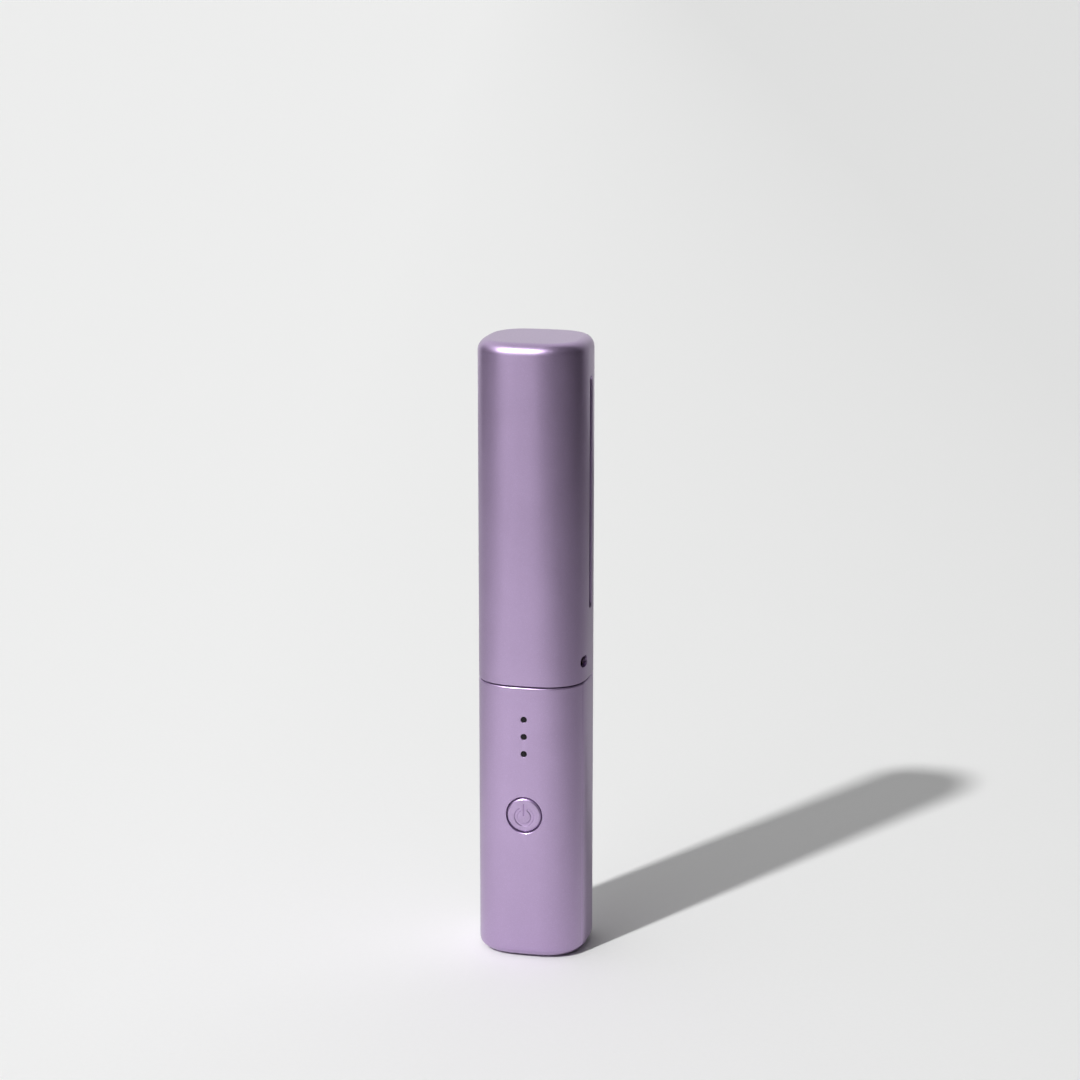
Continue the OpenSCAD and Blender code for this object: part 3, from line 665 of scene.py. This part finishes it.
MATERIALS = {
    "lilac_shell": metallic_paint("lilac_paint", LILAC),
    "plum_plastic": surface("plum_plastic", (0.055, 0.035, 0.07), 0.42, grain=2400, bump=0.25, edge_highlight=0.25),
    "dark_plastic": surface("dark_plastic", (0.02, 0.02, 0.023), 0.5, grain=2000, bump=0.25, edge_highlight=0.2),
    "smoked_lens": surface("smoked_lens", (0.008, 0.006, 0.009), 0.3, grain=900, bump=0.02, specular=0.25),
    "clear_guide": surface("clear_guide", (0.85, 0.88, 0.9), 0.12, grain=700, bump=0.03, transmission=0.9),
    "white_plastic": surface("white_plastic", (0.75, 0.74, 0.71), 0.45, grain=2200, vary=0.05),
    "foot_rubber": surface("foot_rubber", (0.035, 0.028, 0.036), 0.75, grain=2600, bump=0.5, specular=0.3),
    "seal_rubber": surface("seal_rubber", (0.05, 0.046, 0.052), 0.6, grain=2600, bump=0.35, specular=0.3),
    "soft_pad": surface("soft_pad", (0.04, 0.036, 0.042), 0.9, grain=1600, bump=0.9, depth=8e-5,
                        specular=0.2),
    "screw_steel": surface("screw_steel", (0.55, 0.55, 0.57), 0.28, metal=1, grain=1800, edge_highlight=0.3),
    "spring_steel": surface("spring_steel", (0.6, 0.6, 0.61), 0.25, metal=1, grain=2600),
    "bearing_steel": surface("bearing_steel", (0.75, 0.75, 0.77), 0.12, metal=1, grain=2200, vary=0.04,
                             bump=0.04),
    "switch_metal": surface("switch_metal", (0.6, 0.6, 0.6), 0.3, metal=1, grain=2200, stretch=(1, 1, 12)),
    "port_metal": surface("port_metal", (0.62, 0.62, 0.63), 0.26, metal=1, grain=2200, stretch=(12, 1, 1)),
    "board_green": pcb("board_green", (0.012, 0.085, 0.04)),
    "chip_black": surface("chip_black", (0.018, 0.018, 0.02), 0.45, grain=3200, bump=0.3),
    "led_white": surface("led_white", (0.8, 0.78, 0.68), 0.3, grain=1500, vary=0.05, coat=0.3),
    "cell_wrap": surface("cell_wrap", (0.03, 0.13, 0.22), 0.22, grain=700, bump=0.1, coat=0.3, edge_highlight=0.1),
    "nickel": surface("nickel", (0.62, 0.58, 0.5), 0.25, metal=1, grain=2000, stretch=(1, 8, 1)),
    "lead_wire": surface("lead_wire", (0.2, 0.015, 0.015), 0.4, grain=1800),
    "capacitor_can": surface("capacitor_can", (0.02, 0.022, 0.03), 0.3, grain=900, coat=0.2, bump=0.1),
    "ferrite": surface("ferrite", (0.05, 0.048, 0.047), 0.55, metal=0.4, grain=2600, bump=0.5),
    "copper_winding": surface("copper_winding", (0.55, 0.22, 0.09), 0.3, metal=1, grain=900,
                              stretch=(1, 1, 14), bump=0.6, depth=6e-5),
    "brass": surface("brass", (0.62, 0.45, 0.17), 0.25, metal=1, grain=1800, stretch=(10, 1, 1)),
    "sink_aluminium": surface("sink_aluminium", (0.6, 0.61, 0.62), 0.35, metal=1, grain=1600,
                              stretch=(1, 10, 1)),
    "mirror_aluminium": surface("mirror_aluminium", (0.86, 0.86, 0.87), 0.08, metal=1, grain=900, vary=0.03,
                                bump=0.03),
    "ceramic": surface("ceramic", (0.8, 0.77, 0.71), 0.6, grain=2600, vary=0.05, bump=0.3),
    "quartz": surface("quartz", (0.93, 0.95, 0.97), 0.05, grain=500, vary=0.02, bump=0.02,
                      transmission=0.95),
    "filter": surface("filter", (0.85, 0.32, 0.05), 0.06, grain=500, vary=0.05, bump=0.02,
                      transmission=0.85),
    "frame_metal": surface("frame_metal", (0.62, 0.58, 0.66), 0.22, metal=1, grain=2200, vary=0.04,
                           bump=0.06),
    "ribbon_white": surface("ribbon_white", (0.75, 0.75, 0.77), 0.3, grain=1600, stretch=(14, 1, 1)),
}


# ---------- Pieces ----------

BODY_OF = {n: body for body, nodes in frame["record"]["behaviour"]["bodies"].items() for n in nodes}
SLOT_OF = {part["node"]: part["material_slot"] for part in frame["record"]["subparts"]}


def finish(obj, node):
    """Gives an object the finish of its CAD node's slot."""
    obj.data.materials.clear()
    obj.data.materials.append(MATERIALS[SLOT_OF[node]])


def place_piece(piece, node):
    """Gives a piece its finish and its body, and hides the CAD node that it stands for."""
    finish(piece, node)
    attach(piece, BODY_OF[node])
    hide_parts(node)


# Nodes built anew
BUILT = {
    "cap_shell": build_cap,
    "front_shell": build_front_shell,
    "rear_shell": build_rear_shell,
    "power_button": build_button,
    "foot_pad": build_foot,
}
for built_node, builder in BUILT.items():
    place_piece(builder(), built_node)
for lens in build_lenses():
    place_piece(lens, "indicator_lenses")

# Springs: the joint that squeezes each, and the way it lies
SPRINGS = {
    "contact_springs": ("contact_press", (0, 0, 1)),
    "catch_spring": ("catch_press", (1, 0, 0)),
}
for spring_node, (spring_joint, spring_axis) in SPRINGS.items():
    place_piece(squeezed_spring(spring_node), spring_node)

# Nodes that keep their CAD mesh, and the edge rounds of the others, in millimetres
KEPT = {"battery_leads", "head_harness", "catch_ball"}
EDGE = {
    "head_housing": 0.25, "window_bezel": 0.35, "contact_frame": 0.35, "filter_glass": 0.15,
    "base_plate": 0.2,
}
FINE_EDGE = 0.08
for cad_node, cad_object in frame["nodes"].items():
    if cad_node in BUILT or cad_node in SPRINGS or cad_node == "indicator_lenses":
        continue
    if cad_node in KEPT:
        finish(cad_object, cad_node)
        continue
    place_piece(refine(cad_node, EDGE.get(cad_node, FINE_EDGE) * MM), cad_node)

# ---------- Floor, surroundings and light ----------

# Camera: degrees from the button side towards the slot side and up, lens in millimetres, places in metres
VIEW_AZIMUTH = 13.5
VIEW_PITCH = 13.2
LENS = 99.7
DISTANCE = 0.871
TARGET_Z = 0.1234
TARGET_SIDE = 0.00106

# Key light: degrees to the left of the camera, degrees up and degrees across
KEY_LEFT = 41.2
KEY_HEIGHT = 41.5
KEY_SPREAD = 2.8
KEY_STRENGTH = 2.78
SOFTBOX_POWER = 4.4
SOFTBOX_SIDE = 0.68

# Surroundings: strength at the sides and overhead, and their brightness by direction, in degrees from
# the button side towards the slot side
WORLD_STRENGTH = 0.5
ZENITH_STRENGTH = 0.36
SIDE_BRIGHTNESS = [
    (-180, 1.4), (-128, 1.4), (-108, 0.05), (-50, 0.05), (-31, 1.8), (-14, 1.8), (0, 0.2), (36, 0.03),
    (122, 0.05), (152, 0.75), (180, 1.4),
]
OVERHEAD_BRIGHTNESS = [
    (-180, 1.6), (-100, 1.5), (-40, 1.6), (-14, 1.4), (9, 0.06), (120, 0.06), (155, 1.2), (180, 1.6),
]
BACKDROP = (0.81, 0.815, 0.815, 1)

# Table that the camera sees, painted lighter on its left as painted light, and the card just under it that
# the finish mirrors, with painted light and shade
TABLE_HALF = 14
# painted light: the table's left is painted as lit and its right as shaded
TABLE_LIT_LEFT = (0.887, 0.89, 0.886)
TABLE_SHADED_RIGHT = (0.767, 0.77, 0.766)
TABLE_GRAIN = (0.6, 0.6, 0.6)
CARD_HALF = 0.75
CARD_DROP = 0.1 * MM
# painted light and shade: the card's greys stand in for the lit floor near the object, its darker far
# reaches and a pool of key light
CARD_NEAR = (0.55, 0.55, 0.55)
CARD_LEFT = (0.36, 0.36, 0.36)
CARD_RIGHT = (0.08, 0.08, 0.08)
CARD_LIGHT_POOL = (0.98, 0.98, 0.98)
LIGHT_POOL_PLACE = (-0.075, -0.21, 0)
LIGHT_POOL_INNER, LIGHT_POOL_OUTER = 0.08, 0.33


def direction(azimuth, pitch):
    """Unit vector at degrees from the button side towards the slot side, and degrees up."""
    turn, tilt = math.radians(azimuth), math.radians(pitch)
    level = math.cos(tilt)
    return Vector((math.sin(turn) * level, -math.cos(turn) * level, math.sin(tilt)))


def stage_plane(name, half, height, material):
    """Flat square facing up."""
    bm = bmesh.new()
    corners = [(-half, -half), (half, -half), (half, half), (-half, half)]
    bm.faces.new([bm.verts.new((x, y, height)) for x, y in corners])
    plane = make_object(name, bm)
    plane.data.materials.append(material)
    for polygon in plane.data.polygons:
        if polygon.normal.z < 0:
            polygon.flip()
    return plane


def table_material():
    """Matt pale surface, painted a little brighter on its left as painted light from the key falling off to
    the right, with a faint fine grain.
    """
    m = Finish("pale_table")
    across = m.add("ShaderNodeVectorMath", operation="DOT_PRODUCT")
    m.link(m.place, across.inputs[0])
    turn = math.radians(VIEW_AZIMUTH)
    across.inputs[1].default_value = (math.cos(turn), math.sin(turn), 0)
    # painted light: lighter on the left and darker on the right, standing in for the key light's falloff
    side = m.span(across.outputs["Value"], -0.12, 0.32, 0, 1)
    tone = m.mix(side, TABLE_LIT_LEFT, TABLE_SHADED_RIGHT)
    grain = m.noise(700, 4)
    tone = m.mix(m.span(grain, 0.3, 0.7, 0, 0.03), tone, TABLE_GRAIN)
    m.link(tone, m.shader.inputs["Base Color"])
    m.link(m.span(grain, 0.3, 0.7, 0.65, 0.75), m.shader.inputs["Roughness"])
    m.bump(grain, 0.12, 8e-5)
    m.shader.inputs["Specular IOR Level"].default_value = 0.25
    return m.material


def card_material():
    """Grey with painted shade that darkens with distance, most towards the slot side, and a painted pool of
    key light on the front left.
    """
    m = Finish("table_card")
    axes = m.add("ShaderNodeSeparateXYZ")
    m.link(m.place, axes.inputs[0])
    reach = m.add("ShaderNodeVectorMath", operation="LENGTH")
    m.link(m.place, reach.inputs[0])
    # painted shade: darker with distance, most towards the slot side
    distant = m.mix(m.span(axes.outputs["X"], -0.2, 0.2, 0, 1), CARD_LEFT, CARD_RIGHT)
    tone = m.mix(m.span(reach.outputs["Value"], 0.02, CARD_HALF, 0, 1), CARD_NEAR, distant)
    # painted light: a pool of key light on the front left
    light_pool = m.add("ShaderNodeVectorMath", operation="DISTANCE")
    m.link(m.place, light_pool.inputs[0])
    light_pool.inputs[1].default_value = LIGHT_POOL_PLACE
    tone = m.mix(m.span(light_pool.outputs["Value"], LIGHT_POOL_INNER, LIGHT_POOL_OUTER, 1, 0), tone, CARD_LIGHT_POOL)
    m.link(tone, m.shader.inputs["Base Color"])
    m.shader.inputs["Roughness"].default_value = 0.9
    return m.material


def build_floor():
    """The table for the camera and for shadows, and the card under it, painted with the floor's light and
    shade, for reflections.
    """
    table = stage_plane("table", TABLE_HALF, 0, table_material())
    table.visible_glossy = False
    table.visible_diffuse = False
    table.visible_shadow = False
    card = stage_plane("card", CARD_HALF, -CARD_DROP, card_material())
    card.visible_camera = False


def ramp_stops(ramp, stops):
    """Sets a colour ramp's grey stops from (place, brightness) pairs."""
    while len(ramp.elements) > 1:
        ramp.elements.remove(ramp.elements[-1])
    ramp.elements[0].position = stops[0][0]
    ramp.elements[0].color = (stops[0][1],) * 3 + (1,)
    for place, grey in stops[1:]:
        ramp.elements.new(place).color = (grey,) * 3 + (1,)


def build_world():
    """Studio surroundings: bright panels in front and to the left, darker sides, pale above them."""
    world = bpy.data.worlds.new("studio")
    bpy.context.scene.world = world
    world.use_nodes = True
    world.node_tree.nodes.clear()
    w = Nodes(world.node_tree)

    axes = w.add("ShaderNodeSeparateXYZ")
    w.link(w.add("ShaderNodeTexCoord").outputs["Generated"], axes.inputs[0])
    flip = w.add("ShaderNodeMath", operation="MULTIPLY")
    flip.inputs[1].default_value = -1
    w.link(axes.outputs["Y"], flip.inputs[0])
    turn = w.add("ShaderNodeMath", operation="ARCTAN2")
    w.link(axes.outputs["X"], turn.inputs[0])
    w.link(flip.outputs[0], turn.inputs[1])
    around = w.span(turn.outputs[0], -math.pi, math.pi, 0, 1)
    tones = []
    for stops in (SIDE_BRIGHTNESS, OVERHEAD_BRIGHTNESS):
        ramp = w.add("ShaderNodeValToRGB")
        ramp.color_ramp.interpolation = "EASE"
        ramp_stops(ramp.color_ramp, [((a + 180) / 360, v) for a, v in stops])
        w.link(around, ramp.inputs["Fac"])
        tones.append(ramp.outputs["Color"])

    studio = w.add("ShaderNodeBackground")
    w.link(w.mix(w.span(axes.outputs["Z"], 0.25, 0.7, 0, 1), *tones), studio.inputs["Color"])
    strength = w.span(axes.outputs["Z"], 0.8, 0.96, WORLD_STRENGTH, ZENITH_STRENGTH)
    w.link(strength, studio.inputs["Strength"])
    backdrop = w.add("ShaderNodeBackground")
    backdrop.inputs["Color"].default_value = BACKDROP
    choose = w.add("ShaderNodeMixShader")
    w.link(w.add("ShaderNodeLightPath").outputs["Is Camera Ray"], choose.inputs["Fac"])
    w.link(studio.outputs[0], choose.inputs[1])
    w.link(backdrop.outputs[0], choose.inputs[2])
    w.link(choose.outputs[0], w.add("ShaderNodeOutputWorld").inputs["Surface"])


def build_key():
    """Soft-edged key light from the front left."""
    light = bpy.data.lights.new("key", "SUN")
    light.energy = KEY_STRENGTH
    light.angle = math.radians(KEY_SPREAD)
    lamp = bpy.data.objects.new("key", light)
    lamp.rotation_euler = direction(VIEW_AZIMUTH - KEY_LEFT, KEY_HEIGHT).to_track_quat("Z", "Y").to_euler()
    bpy.context.scene.collection.objects.link(lamp)


def build_softbox():
    """Large panel round the key light, a metre from the seam, seen only in the object's gloss."""
    light = bpy.data.lights.new("softbox", "AREA")
    light.shape = "SQUARE"
    light.size = SOFTBOX_SIDE
    light.energy = SOFTBOX_POWER
    panel = bpy.data.objects.new("softbox", light)
    source = direction(VIEW_AZIMUTH - KEY_LEFT, KEY_HEIGHT)
    panel.location = source + Vector((0, 0, seam_z))
    panel.rotation_euler = source.to_track_quat("Z", "Y").to_euler()
    panel.visible_diffuse = False
    panel.visible_camera = False
    bpy.context.scene.collection.objects.link(panel)


def build_camera():
    """Long lens at the front right, a little above the object."""
    camera = bpy.data.cameras.new("camera")
    camera.lens = LENS
    camera.sensor_width = 36
    camera.clip_start = 0.01
    camera.clip_end = 50
    obj = bpy.data.objects.new("camera", camera)
    back = direction(VIEW_AZIMUTH, VIEW_PITCH)
    right = direction(VIEW_AZIMUTH + 90, 0)
    obj.location = Vector((0, 0, TARGET_Z)) + right * TARGET_SIDE + back * DISTANCE
    obj.rotation_euler = back.to_track_quat("Z", "Y").to_euler()
    bpy.context.scene.collection.objects.link(obj)
    bpy.context.scene.camera = obj


build_floor()
build_world()
build_key()
build_softbox()
build_camera()
bpy.context.scene.view_settings.view_transform = "Standard"
